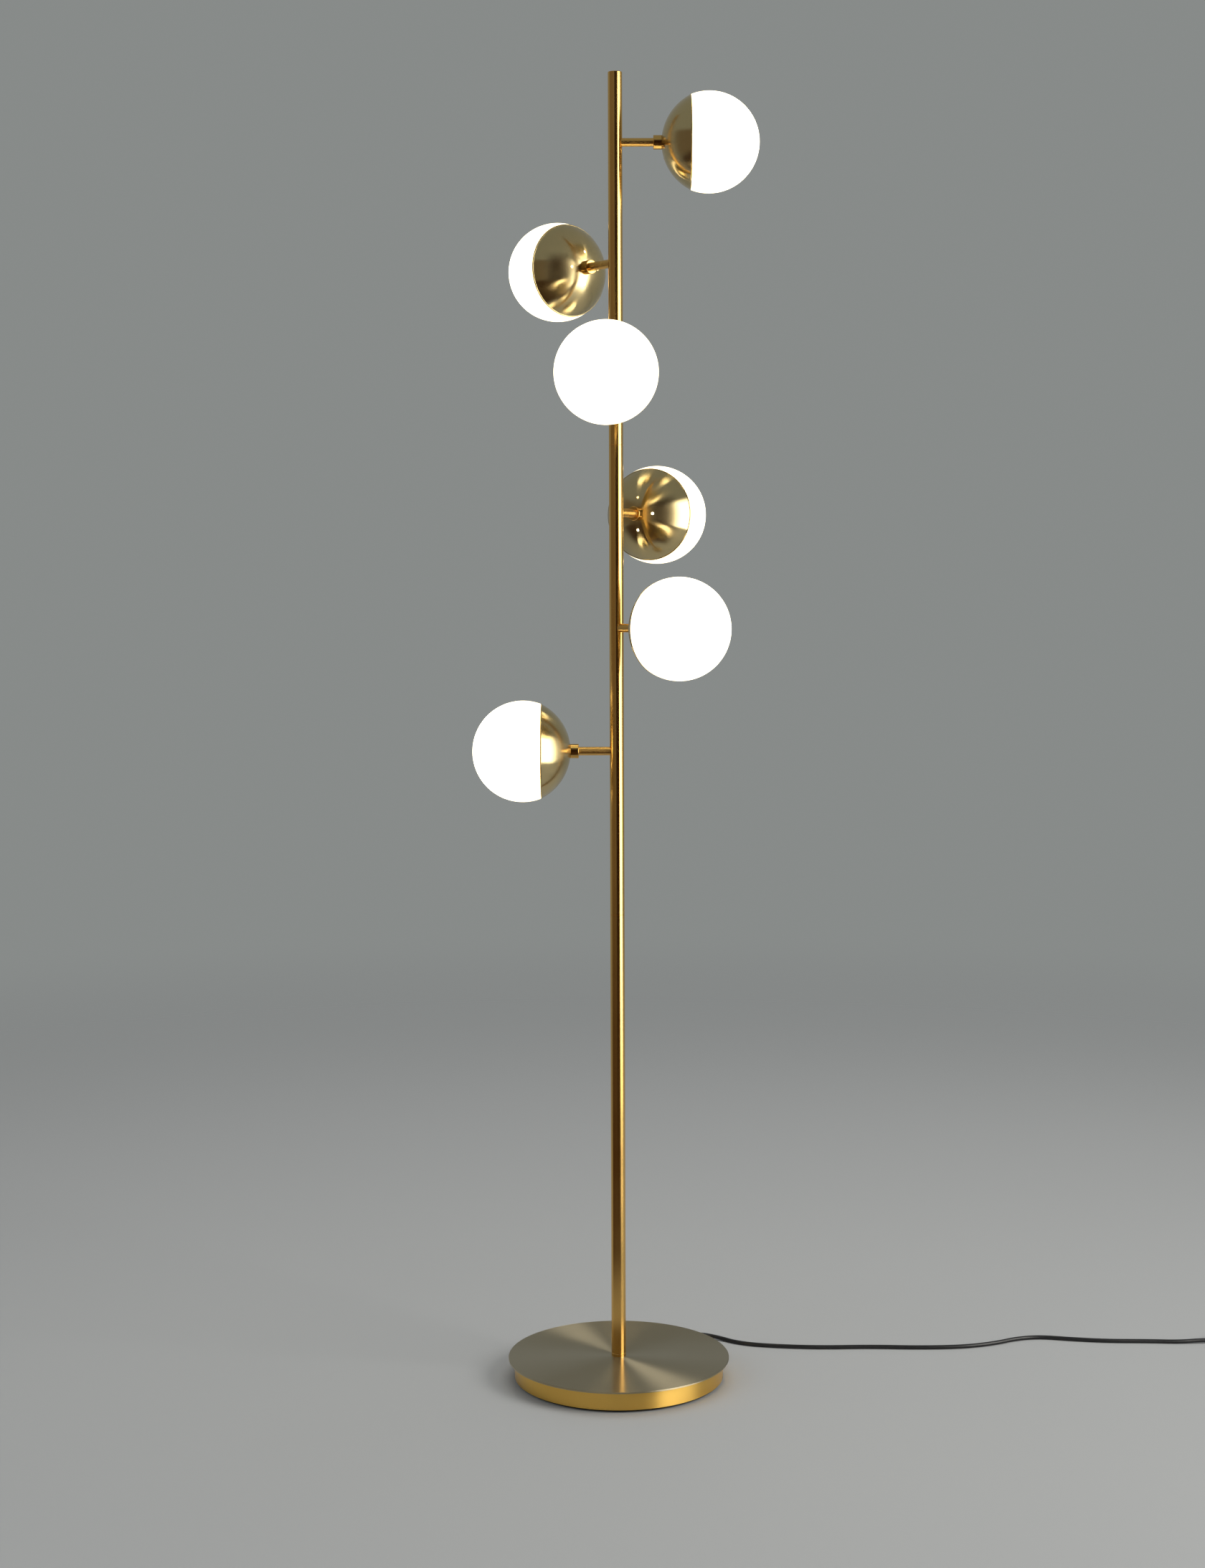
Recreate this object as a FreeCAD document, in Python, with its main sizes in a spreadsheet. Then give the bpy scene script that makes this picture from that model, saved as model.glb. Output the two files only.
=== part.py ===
"""A tree floor lamp: a weighted round base, a brass pole in three screwed lengths, and six arms that
each carry a spun brass dome with an opal glass globe. Millimetres, +Z up, origin on the floor under the
middle of the pole, +X to the right as the lamp is seen from the front (-Y)."""

import FreeCAD
import Part
import math
import os
import re

import Sketcher

# Driving dimensions. Each one is a cell of the sheet, under its own name.
SIZES = {
    # base, from the floor up
    "base_height": 30.0,
    "pad_radius": 138.0,
    "pad_thickness": 3.5,
    "cover_radius": 139.4,
    "cover_thickness": 2.2,
    "drum_radius": 144.0,
    "drum_sheet": 1.2,
    "drum_corner": 2.0,
    "plate_radius": 152.5,
    "plate_thickness": 2.0,
    "plate_edge": 0.6,
    "weight_radius": 140.0,
    "weight_thickness": 12.0,
    "recess_radius": 13.5,
    "recess_depth": 7.0,
    "boss_radius": 8.0,
    "boss_circle": 110.0,
    "boss_angle": 45.0,
    "screw_radius": 2.0,
    "screw_head_radius": 4.0,
    "screw_length": 9.0,
    "screw_clearance": 0.1,
    # hollow stud that clamps the base together
    "stud_radius": 5.0,
    "stud_bore": 3.4,
    "stud_hole": 5.3,
    "stud_bottom": 15.0,
    "stud_top": 62.0,
    "washer_radius": 10.0,
    "washer_thickness": 1.0,
    "stud_nut_flats": 14.0,
    "stud_nut_thickness": 5.0,
    # pole
    "pole_radius": 10.0,
    "pole_wall": 1.5,
    "foot_flange": 4.0,
    "foot_groove": 0.5,
    "foot_spigot": 20.0,
    "lower_joint": 640.0,
    "upper_joint": 1290.0,
    "coupler_length": 50.0,
    "coupler_bore": 5.5,
    "pole_top": 1805.0,
    "cap_thickness": 2.0,
    "cap_edge": 0.8,
    "cap_spigot": 10.0,
    # arms: height above the floor, and direction (0 is right, 90 is the back)
    "arm_height_1": 1709.5,
    "arm_height_2": 1543.0,
    "arm_height_3": 1379.5,
    "arm_height_4": 1197.0,
    "arm_height_5": 1037.0,
    "arm_height_6": 866.5,
    "arm_azimuth_1": 0.0,
    "arm_azimuth_2": 129.0,
    "arm_azimuth_3": 264.0,
    "arm_azimuth_4": 63.0,
    "arm_azimuth_5": 310.0,
    "arm_azimuth_6": 180.0,
    "arm_radius": 6.0,
    "arm_bore": 3.0,
    "arm_root": 7.6,
    "arm_end": 74.0,
    "collar_radius": 10.0,
    "collar_length": 12.0,
    "collar_edge": 0.8,
    # dome, measured along the arm from the pole's axis
    "dome_apex": 64.0,
    "dome_radius": 72.8,
    "dome_sheet": 1.2,
    "dome_mouth": 65.0,
    "dome_flat": 11.0,
    "bead_radius": 1.2,
    "vent_radius": 1.8,
    "vent_circle": 23.0,
    "dome_nut_flats": 13.0,
    "dome_nut_thickness": 3.0,
    "spring_sheet": 0.8,
    "spring_width": 8.0,
    "spring_hub": 10.2,
    "spring_foot": 7.5,
    "spring_sink": 0.1,
    "spring_reach": 53.5,
    "spring_shoulder": 91.9,
    "spring_tip": 106.6,
    # opal glass
    "globe_centre": 130.0,
    "globe_radius": 70.0,
    "globe_wall": 2.5,
    "globe_shoulder": 105.6,
    "neck_radius": 56.5,
    "neck_end": 96.0,
    # lampholder and bulb
    "holder_start": 70.0,
    "holder_boss": 8.0,
    "holder_radius": 9.5,
    "holder_end": 92.0,
    "pin_spacing": 9.0,
    "pin_radius": 0.8,
    "pin_hole": 0.95,
    "pin_length": 8.0,
    "bulb_start": 92.3,
    "bulb_base_radius": 7.3,
    "bulb_base_end": 101.0,
    "bulb_slope": 1.5,
    "bulb_radius": 8.2,
    "bulb_shoulder": 134.0,
    # wiring
    "loom_radius": 2.6,
    "loom_bend": 8.0,
    "branch_radius": 1.6,
    "block_start": 16.0,
    "block_length": 18.0,
    "block_width": 14.0,
    "block_height": 7.0,
    # cord and its strain relief, in the direction in which it leaves the base
    "cord_radius": 2.75,
    "cord_azimuth": 55.0,
    "cord_height": 9.75,
    "cord_hole": 5.1,
    "relief_inner_start": 140.3,
    "relief_inner_end": 142.5,
    "relief_inner_radius": 6.1,
    "relief_waist": 5.0,
    "relief_outer_start": 144.3,
    "relief_outer_end": 146.6,
    "relief_outer_radius": 7.2,
    "relief_root": 5.6,
    "relief_tip": 4.0,
    "relief_end": 168.0,
    "relief_groove": 1.6,
    # foot switch, centred on the cord beyond the lamp
    "switch_x": 903.0,
    "switch_y": 137.0,
    "switch_length": 70.0,
    "switch_width": 38.0,
    "switch_corner": 14.0,
    "switch_split": 8.0,
    "switch_height": 19.0,
    "switch_wall": 2.0,
    "switch_round": 3.0,
    "nozzle_radius": 3.9,
    "nozzle_length": 8.0,
    "nozzle_height": 4.0,
    "button_radius": 12.0,
    "button_gap": 0.35,
    "button_flange": 14.0,
    "button_bottom": 15.2,
    "button_flange_thickness": 1.5,
    "button_top": 22.5,
    "button_edge": 1.5,
    "spring_outer": 5.5,
    "spring_inner": 4.5,
    # coil of the cord's spare length
    "coil_x": 1002.0,
    "coil_pitch": 6.1,
    "coil_inside": 24.0,
    # plug: two round pins, flat body
    "plug_azimuth": 90.0,
    "plug_tail_x": 970.0,
    "plug_tail_y": 27.0,
    "plug_height": 6.9,
    "plug_tail": 18.0,
    "plug_tail_root": 5.6,
    "plug_tail_tip": 4.2,
    "plug_tail_collar": 2.0,
    "plug_tail_sink": 4.0,
    "plug_depth": 36.0,
    "plug_width": 35.2,
    "plug_waist": 14.0,
    "plug_shoulder": 12.0,
    "plug_thickness": 13.7,
    "plug_round": 3.0,
    "plug_pin_spacing": 18.6,
    "plug_pin_radius": 2.0,
    "plug_pin_length": 19.0,
}
HEADS = 6
RELIEF_GROOVES = 4
LEFT, RIGHT = 1, -1  # the side to which an arc of an outline turns
X_AXIS, Z_AXIS = "H_Axis", "V_Axis"  # of a sketch on the XZ plane

doc = FreeCAD.newDocument("tree_floor_lamp")
sheet = doc.addObject("Spreadsheet::Sheet", "Sizes")
for row, (alias, size) in enumerate(SIZES.items(), 1):
    sheet.set(f"A{row}", alias)
    sheet.set(f"B{row}", str(size))
    sheet.setAlias(f"B{row}", alias)
doc.recompute()
nodes = {}


# ---------------------------------------------------------------- helpers


def value(expression):
    """What an expression over the sheet's names comes to."""
    return float(sheet.evalExpression(str(expression)))


def linked(expression):
    """The expression with each of its names pointing at the sheet."""
    return re.sub(r"\b[a-z][a-z_0-9]*(?![a-z_0-9(])", r"Sizes.\g<0>", str(expression))


def node(item, label):
    """Gives a finished sub-part the name of its file."""
    item.Label = label
    nodes[label] = item
    return item


def place(item, x=0, y=0, z=0, azimuth=0):
    """Moves a sub-part and turns it about the vertical, by expressions over the sheet."""
    for path, expression in {
        "Placement.Base.x": x,
        "Placement.Base.y": y,
        "Placement.Base.z": z,
        "Placement.Rotation.Angle": azimuth,
    }.items():
        if expression != 0:
            item.setExpression(path, linked(expression))
    return item


def origin_of(body, role):
    """A plane or an axis of a body's own origin."""
    return next(f for f in body.Origin.OriginFeatures if f.Role == role)


def new_body(name):
    return doc.addObject("PartDesign::Body", name)


def new_sketch(body, name, role, raised=0):
    sketch = body.newObject("Sketcher::SketchObject", name)
    sketch.AttachmentSupport = (origin_of(body, role), "")
    sketch.MapMode = "FlatFace"
    if raised != 0:
        sketch.setExpression("AttachmentOffset.Base.z", linked(raised))
    return sketch


def arc_between(start, finish, radius, side):
    """The arc under half a turn from start to finish, as an anticlockwise arc of a circle."""
    across = finish - start
    rise = math.sqrt(max(radius**2 - across.Length**2 / 4, 0))
    left = FreeCAD.Vector(-across.y, across.x, 0).normalize()
    centre = (start + finish) / 2 + left * rise * side
    first, last = (start, finish) if side == LEFT else (finish, start)
    angles = [math.atan2(p.y - centre.y, p.x - centre.x) for p in (first, last)]
    if angles[1] < angles[0]:
        angles[1] += 2 * math.pi
    return Part.ArcOfCircle(Part.Circle(centre, FreeCAD.Vector(0, 0, 1), radius), *angles)


def outline(body, name, corners, role="XZ_Plane", raised=0):
    """A closed sketch through corners (x, y). A corner (x, y, radius, side) starts an arc to the next
    corner. Every corner and radius is bound to the sheet."""
    sketch = new_sketch(body, name, role, raised)
    spots = [FreeCAD.Vector(value(c[0]), value(c[1]), 0) for c in corners]
    begins = []
    for index, corner in enumerate(corners):
        start, finish = spots[index], spots[(index + 1) % len(spots)]
        side = corner[3] if len(corner) > 2 else None
        if side is None:
            sketch.addGeometry(Part.LineSegment(start, finish), False)
        else:
            sketch.addGeometry(arc_between(start, finish, value(corner[2]), side), False)
        begins.append(2 if side == RIGHT else 1)
    for index, corner in enumerate(corners):
        after = (index + 1) % len(corners)
        sketch.addConstraint(
            Sketcher.Constraint("Coincident", index, 3 - begins[index], after, begins[after])
        )
        for kind, axis, where in (("DistanceX", -2, corner[0]), ("DistanceY", -1, corner[1])):
            if where == 0:
                sketch.addConstraint(Sketcher.Constraint("PointOnObject", index, begins[index], axis))
            else:
                bind(sketch, Sketcher.Constraint(kind, index, begins[index], value(where)), where)
        if len(corner) > 2:
            bind(sketch, Sketcher.Constraint("Radius", index, value(corner[2])), corner[2])
    return sketch


def circles(body, name, spots, radius, role="XY_Plane", raised=0):
    """A sketch of circles of one radius at spots (x, y)."""
    sketch = new_sketch(body, name, role, raised)
    for index, (x, y) in enumerate(spots):
        centre = FreeCAD.Vector(value(x), value(y), 0)
        sketch.addGeometry(Part.Circle(centre, FreeCAD.Vector(0, 0, 1), value(radius)), False)
        for kind, axis, where in (("DistanceX", -2, x), ("DistanceY", -1, y)):
            if where == 0:
                sketch.addConstraint(Sketcher.Constraint("PointOnObject", index, 3, axis))
            else:
                bind(sketch, Sketcher.Constraint(kind, index, 3, value(where)), where)
        bind(sketch, Sketcher.Constraint("Radius", index, value(radius)), radius)
    return sketch


def bind(sketch, constraint, expression):
    """Adds a constraint whose size follows the sheet."""
    index = sketch.addConstraint(constraint)
    sketch.setExpression(f"Constraints[{index}]", linked(expression))


def turn(body, sketch, axis):
    """Adds the sketch turned once round its own axis."""
    feature = body.newObject("PartDesign::Revolution", sketch.Name + "_turned")
    feature.Profile = sketch
    feature.ReferenceAxis = (sketch, [axis])
    feature.Angle = 360
    return feature


def extrude(body, sketch, length, kind="Pad", reverse=False, both_ways=False):
    """Adds a pad, or cuts a pocket, of a length given by an expression."""
    feature = body.newObject("PartDesign::" + kind, sketch.Name + "_" + kind.lower())
    feature.Profile = sketch
    feature.setExpression("Length", linked(length))
    feature.Reversed = reverse
    if both_ways:
        feature.SideType = "Symmetric"
    return feature


def repeat(body, features, axis, count):
    """Repeats features evenly round one of the body's axes."""
    pattern = body.newObject("PartDesign::PolarPattern", features[0].Name + "_pattern")
    pattern.Originals = features
    pattern.Axis = (origin_of(body, axis), [""])
    pattern.Angle = 360
    pattern.Occurrences = count
    body.Tip = pattern
    return pattern


def round_edges(body, radius, chosen):
    """Rounds the edges of the body that chosen(edge) picks."""
    doc.recompute()
    base = body.Tip
    names = [f"Edge{i}" for i, e in enumerate(base.Shape.Edges, 1) if chosen(e)]
    fillet = body.newObject("PartDesign::Fillet", body.Name + "_round")
    fillet.Base = (base, names)
    fillet.setExpression("Radius", linked(radius))
    return fillet


def turned(name, corners, axis):
    """A body turned from half an outline, about its own X or Z axis."""
    body = new_body(name)
    turn(body, outline(body, name + "_outline", corners), axis)
    return body


def ring(name, inner, outer, start, end, axis):
    """A plain tube or ring between two places on its axis."""
    spots = [(start, inner), (end, inner), (end, outer), (start, outer)]
    if axis == Z_AXIS:
        spots = [(radius, along) for along, radius in spots]
    return turned(name, spots, axis)


def union(name, items):
    fused = doc.addObject("Part::MultiFuse", name)
    fused.Shapes = items
    return fused


def minus(name, base, tool):
    cut = doc.addObject("Part::Cut", name)
    cut.Base = base
    cut.Tool = tool
    return cut


def group(label, items):
    """One node of several separate solids."""
    compound = doc.addObject("Part::Compound", label)
    compound.Links = items
    return node(compound, label)


def per_head(make):
    """Calls make(number) for each head and sets what it returns on that head's arm."""
    made = []
    for number in range(1, HEADS + 1):
        item = make(number)
        made.append(place(item, z=f"arm_height_{number}", azimuth=f"arm_azimuth_{number}"))
    return made


def hexagon(name, flats, start, thickness, axis, bore):
    """A hexagonal nut on the X or Z axis."""
    body = new_body(name)
    corner_radius = f"{flats} / sqrt(3)"
    spots = [(f"{corner_radius} * cos({60 * k})", f"{corner_radius} * sin({60 * k})") for k in range(6)]
    spots[0] = (spots[0][0], 0)
    spots[3] = (spots[3][0], 0)
    role = "YZ_Plane" if axis == X_AXIS else "XY_Plane"
    extrude(body, outline(body, name + "_hexagon", spots, role, start), thickness)
    hole = circles(body, name + "_bore", [(0, 0)], bore, role, start)
    extrude(body, hole, thickness, "Pocket", reverse=True)
    return body


# ---------------------------------------------------------------- base

DECK = "(base_height - plate_thickness)"
WEIGHT_TOP = f"({DECK} - drum_sheet)"
WEIGHT_BOTTOM = f"({WEIGHT_TOP} - weight_thickness)"
COVER_TOP = "(pad_thickness + cover_thickness)"


def make_plate():
    """The brushed top plate, which overhangs the drum."""
    corners = [
        ("stud_hole", DECK),
        ("plate_radius", DECK),
        ("plate_radius", "base_height - plate_edge", "plate_edge", LEFT),
        ("plate_radius - plate_edge", "base_height"),
        ("stud_hole", "base_height"),
    ]
    node(turned("base_plate", corners, Z_AXIS), "base_plate")


def make_drum():
    """The drum: a pan of sheet brass, open below, with a hole for the cord's strain relief."""
    inner = "(drum_radius - drum_sheet)"
    bend = "(drum_corner - drum_sheet)"
    corners = [
        ("stud_hole", WEIGHT_TOP),
        (f"{inner} - {bend}", WEIGHT_TOP, bend, RIGHT),
        (inner, f"{WEIGHT_TOP} - {bend}"),
        (inner, "pad_thickness"),
        ("drum_radius", "pad_thickness"),
        ("drum_radius", f"{DECK} - drum_corner", "drum_corner", LEFT),
        ("drum_radius - drum_corner", DECK),
        ("stud_hole", DECK),
    ]
    drum = turned("base_drum", corners, Z_AXIS)
    hole = circles(drum, "cord_opening", [(0, "cord_height")], "cord_hole", "XZ_Plane")
    extrude(drum, hole, "plate_radius", "Pocket")
    place(drum, azimuth="cord_azimuth - 90")
    node(drum, "base_drum")


def make_weight():
    """The cast iron disc, with four bosses for the cover's screws and a recess for the nut."""
    corners = [
        ("recess_radius", WEIGHT_BOTTOM),
        ("weight_radius", WEIGHT_BOTTOM),
        ("weight_radius", WEIGHT_TOP),
        ("stud_hole", WEIGHT_TOP),
        ("stud_hole", f"{WEIGHT_BOTTOM} + recess_depth"),
        ("recess_radius", f"{WEIGHT_BOTTOM} + recess_depth"),
    ]
    weight = turned("base_weight", corners, Z_AXIS)
    spot = [("boss_circle", 0)]
    disc = circles(weight, "boss", spot, "boss_radius", raised=WEIGHT_BOTTOM)
    boss = extrude(weight, disc, f"{WEIGHT_BOTTOM} - {COVER_TOP}", reverse=True)
    tapped = circles(weight, "boss_thread", spot, "screw_radius", raised=COVER_TOP)
    hole = extrude(weight, tapped, "screw_length", "Pocket", reverse=True)
    repeat(weight, [boss, hole], "Z_Axis", 4)
    place(weight, azimuth="cord_azimuth + boss_angle")
    node(weight, "base_weight")


def around_bosses(make):
    """Calls make(k) for each boss and sets what it returns under that boss."""
    made = []
    for k in range(4):
        angle = f"(cord_azimuth + boss_angle + {90 * k})"
        made.append(place(make(k), x=f"boss_circle * cos({angle})", y=f"boss_circle * sin({angle})"))
    return made


def make_cover():
    """The steel sheet that closes the drum, its four countersunk screws and the foam pad below."""
    def sink(k):
        cone = doc.addObject("Part::Cone", f"screw_seat_{k + 1}")
        cone.setExpression("Radius1", linked("screw_head_radius + screw_clearance"))
        cone.setExpression("Radius2", linked("screw_radius + screw_clearance"))
        cone.setExpression("Height", linked("cover_thickness"))
        return place(cone, z="pad_thickness")

    def screw(k):
        corners = [
            (0, "pad_thickness"),
            ("screw_head_radius", "pad_thickness"),
            ("screw_radius", COVER_TOP),
            ("screw_radius", "pad_thickness + screw_length"),
            (0, "pad_thickness + screw_length"),
        ]
        return turned(f"cover_screw_{k + 1}", corners, Z_AXIS)

    disc = doc.addObject("Part::Cylinder", "cover_disc")
    disc.setExpression("Radius", linked("cover_radius"))
    disc.setExpression("Height", linked("cover_thickness"))
    place(disc, z="pad_thickness")
    node(minus("base_cover", disc, union("screw_seats", around_bosses(sink))), "base_cover")
    group("cover_screws", around_bosses(screw))
    pad = doc.addObject("Part::Cylinder", "foot_pad")
    pad.setExpression("Radius", linked("pad_radius"))
    pad.setExpression("Height", linked("pad_thickness"))
    node(pad, "foot_pad")


def make_stud():
    """The hollow stud through the base, and the washer and nut that clamp it from below."""
    seat = f"({WEIGHT_BOTTOM} + recess_depth)"
    stud = ring("stem_stud", "stud_bore", "stud_radius", "stud_bottom", "stud_top", Z_AXIS)
    node(stud, "stem_stud")
    washer_start = f"{seat} - washer_thickness"
    washer = ring("stem_washer", "stud_hole", "washer_radius", washer_start, seat, Z_AXIS)
    node(washer, "stem_washer")
    nut_start = f"{seat} - washer_thickness - stud_nut_thickness"
    size = "stud_nut_thickness"
    nut = hexagon("stem_nut", "stud_nut_flats", nut_start, size, Z_AXIS, "stud_radius")
    node(nut, "stem_nut")


# ---------------------------------------------------------------- pole

POLE_BORE = "(pole_radius - pole_wall)"
POLE_FOOT = "(base_height + foot_flange)"


def make_pole():
    """Three lengths of tube on a turned foot, with threaded couplers inside and a cap on top."""
    foot = [
        ("stud_radius", "base_height"),
        ("pole_radius", "base_height"),
        ("pole_radius", f"{POLE_FOOT} - foot_groove"),
        ("pole_radius - foot_groove", POLE_FOOT),
        (POLE_BORE, POLE_FOOT),
        (POLE_BORE, f"{POLE_FOOT} + foot_spigot"),
        ("stud_radius", f"{POLE_FOOT} + foot_spigot"),
    ]
    node(turned("pole_foot", foot, Z_AXIS), "pole_foot")

    lengths = {
        "pole_lower": (POLE_FOOT, "lower_joint", []),
        "pole_middle": ("lower_joint", "upper_joint", [6, 5, 4]),
        "pole_upper": ("upper_joint", "pole_top", [3, 2, 1]),
    }
    for label, (bottom, top, arms) in lengths.items():
        corners = [
            (POLE_BORE, bottom),
            ("pole_radius - foot_groove", bottom),
            ("pole_radius", f"{bottom} + foot_groove"),
            ("pole_radius", top),
            (POLE_BORE, top),
        ]
        tube = turned(label + "_tube", corners, Z_AXIS)
        if arms:
            holes = []
            for number in arms:
                hole = ring(f"arm_hole_{number}", 0, "stud_radius", 0, "2 * pole_radius", X_AXIS)
                holes.append(place(hole, z=f"arm_height_{number}", azimuth=f"arm_azimuth_{number}"))
            tube = minus(label, tube, union(label + "_holes", holes))
        node(tube, label)

    couplers = []
    for joint in ("lower_joint", "upper_joint"):
        start, end = f"{joint} - coupler_length / 2", f"{joint} + coupler_length / 2"
        couplers.append(ring(joint + "_coupler", "coupler_bore", POLE_BORE, start, end, Z_AXIS))
    group("pole_couplers", couplers)

    top = "(pole_top + cap_thickness)"
    cap = [
        (0, "pole_top - cap_spigot"),
        (POLE_BORE, "pole_top - cap_spigot"),
        (POLE_BORE, "pole_top"),
        ("pole_radius", "pole_top"),
        ("pole_radius", f"{top} - cap_edge", "cap_edge", LEFT),
        ("pole_radius - cap_edge", top),
        (0, top),
    ]
    node(turned("pole_cap", cap, Z_AXIS), "pole_cap")


# ---------------------------------------------------------------- heads, each along its own +X

DOME_CENTRE = "(dome_apex + dome_radius)"
DOME_FACE = f"({DOME_CENTRE} - sqrt(dome_radius^2 - dome_flat^2))"
INNER_FACE = f"({DOME_FACE} + dome_sheet)"
MOUTH = f"({DOME_CENTRE} - sqrt(dome_radius^2 - dome_mouth^2))"
INNER_RADIUS = "(dome_radius - dome_sheet)"
COLLAR_START = f"({DOME_FACE} - collar_length)"


def make_arm(number):
    """An arm: a tube whose root fits the pole's side, with a threaded spigot at both ends."""
    arm = new_body(f"arm_{number}")
    shell = [
        ("stud_radius", "arm_bore"),
        (COLLAR_START, "arm_bore"),
        (COLLAR_START, "arm_radius"),
        ("stud_radius", "arm_radius"),
    ]
    turn(arm, outline(arm, f"arm_shell_{number}", shell), X_AXIS)
    cope = circles(arm, f"arm_cope_{number}", [(0, 0)], "pole_radius")
    extrude(arm, cope, "4 * arm_radius", "Pocket", both_ways=True)
    spigot = [
        ("arm_root", "arm_bore"),
        ("arm_end", "arm_bore"),
        ("arm_end", "stud_radius"),
        ("arm_root", "stud_radius"),
    ]
    turn(arm, outline(arm, f"arm_spigot_{number}", spigot), X_AXIS)
    return node(arm, f"arm_{number}")


def make_collar(number):
    """The round nut that holds the dome against the arm's end."""
    corners = [
        (COLLAR_START, "stud_radius"),
        (DOME_FACE, "stud_radius"),
        (DOME_FACE, "collar_radius - collar_edge", "collar_edge", LEFT),
        (f"{DOME_FACE} - collar_edge", "collar_radius"),
        (f"{COLLAR_START} + collar_edge", "collar_radius", "collar_edge", LEFT),
        (COLLAR_START, "collar_radius - collar_edge"),
    ]
    return turned(f"collar_{number}", corners, X_AXIS)


def make_dome(number):
    """A spun cap with a rolled rim, four vent holes and a flat seat for the collar."""
    inner_mouth = f"sqrt({INNER_RADIUS}^2 - ({DOME_CENTRE} - {MOUTH})^2)"
    inner_flat = f"sqrt({INNER_RADIUS}^2 - ({DOME_CENTRE} - {INNER_FACE})^2)"
    corners = [
        (DOME_FACE, "stud_hole"),
        (INNER_FACE, "stud_hole"),
        (INNER_FACE, inner_flat, INNER_RADIUS, RIGHT),
        (MOUTH, inner_mouth),
        (MOUTH, "dome_mouth", "dome_radius", LEFT),
        (DOME_FACE, "dome_flat"),
    ]
    dome = turned(f"dome_{number}", corners, X_AXIS)
    bead_spot = [(MOUTH, "dome_mouth - dome_sheet / 2")]
    bead = circles(dome, f"bead_{number}", bead_spot, "bead_radius", "XZ_Plane")
    turn(dome, bead, X_AXIS)
    vent = circles(dome, f"vent_{number}", [(0, "vent_circle")], "vent_radius", "YZ_Plane")
    hole = extrude(dome, vent, "globe_centre", "Pocket", reverse=True)
    repeat(dome, [hole], "X_Axis", 4)
    return node(dome, f"dome_{number}")


def make_spring(number):
    """A spring steel spider inside the dome, whose three tabs grip the glass neck from within."""
    face = f"({INNER_FACE} + spring_sheet)"
    spider = ring(f"spider_{number}", "stud_radius", "spring_hub", INNER_FACE, face, X_AXIS)
    leg = [
        (f"{INNER_FACE} + spring_sink", "spring_foot"),
        (f"{INNER_FACE} + spring_sink", "spring_hub"),
        ("spring_shoulder", "spring_reach"),
        ("spring_tip", "spring_reach"),
        ("spring_tip", "spring_reach - spring_sheet"),
        ("spring_shoulder + spring_sheet / 2", "spring_reach - spring_sheet"),
        (f"{face} + 2 * spring_sink", "spring_hub - 2 * spring_sink"),
        (f"{face} + spring_sink", "spring_foot"),
    ]
    sketch = outline(spider, f"spider_leg_{number}", leg)
    pad = extrude(spider, sketch, "spring_width", both_ways=True)
    repeat(spider, [pad], "X_Axis", 3)
    return spider


def make_dome_nut(number):
    """The nut inside the dome."""
    start = f"{INNER_FACE} + spring_sheet"
    size = "dome_nut_thickness"
    return hexagon(f"dome_nut_{number}", "dome_nut_flats", start, size, X_AXIS, "stud_radius")


def make_globe(number):
    """An opal glass globe, open at the back through a wide neck that sits inside the dome's rim."""
    inner = "(globe_radius - globe_wall)"
    shoulder_radius = "sqrt(globe_radius^2 - (globe_centre - globe_shoulder)^2)"
    inner_shoulder = "(globe_shoulder + globe_wall)"
    inner_radius = f"sqrt({inner}^2 - (globe_centre - {inner_shoulder})^2)"
    corners = [
        ("globe_centre + globe_radius", 0, "globe_radius", LEFT),
        ("globe_shoulder", shoulder_radius),
        ("globe_shoulder", "neck_radius"),
        ("neck_end", "neck_radius"),
        ("neck_end", "neck_radius - globe_wall"),
        (inner_shoulder, "neck_radius - globe_wall"),
        (inner_shoulder, inner_radius, inner, RIGHT),
        (f"globe_centre + {inner}", 0),
    ]
    return node(turned(f"globe_{number}", corners, X_AXIS), f"globe_{number}")


def make_holder(number):
    """A ceramic lampholder on the arm's end, with two contact holes."""
    corners = [
        ("holder_start", "stud_radius"),
        ("holder_start", "holder_boss"),
        ("arm_end", "holder_radius"),
        ("holder_end", "holder_radius"),
        ("holder_end", 0),
        ("arm_end", 0),
        ("arm_end", "stud_radius"),
    ]
    holder = turned(f"lampholder_{number}", list(reversed(corners)), X_AXIS)
    spots = [("pin_spacing / 2", 0), ("-pin_spacing / 2", 0)]
    holes = circles(holder, f"contacts_{number}", spots, "pin_hole", "YZ_Plane", "holder_end")
    extrude(holder, holes, "pin_length + 1", "Pocket")
    return node(holder, f"lampholder_{number}")


def make_bulb(number):
    """A frosted capsule bulb with two pins."""
    tip = "(bulb_shoulder + bulb_radius)"
    corners = [
        ("bulb_start", 0),
        (tip, 0, "bulb_radius", LEFT),
        ("bulb_shoulder", "bulb_radius"),
        ("bulb_base_end + bulb_slope", "bulb_radius"),
        ("bulb_base_end", "bulb_base_radius"),
        ("bulb_start", "bulb_base_radius"),
    ]
    bulb = turned(f"bulb_{number}", corners, X_AXIS)
    spots = [("pin_spacing / 2", 0), ("-pin_spacing / 2", 0)]
    pins = circles(bulb, f"bulb_pins_{number}", spots, "pin_radius", "YZ_Plane", "bulb_start")
    extrude(bulb, pins, "pin_length", reverse=True)
    return node(bulb, f"bulb_{number}")


def make_heads():
    for make in (make_arm, make_dome, make_globe, make_holder, make_bulb):
        per_head(make)
    group("dome_collars", per_head(make_collar))
    group("globe_springs", per_head(make_spring))
    group("dome_nuts", per_head(make_dome_nut))


# ---------------------------------------------------------------- tubes along a route


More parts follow.
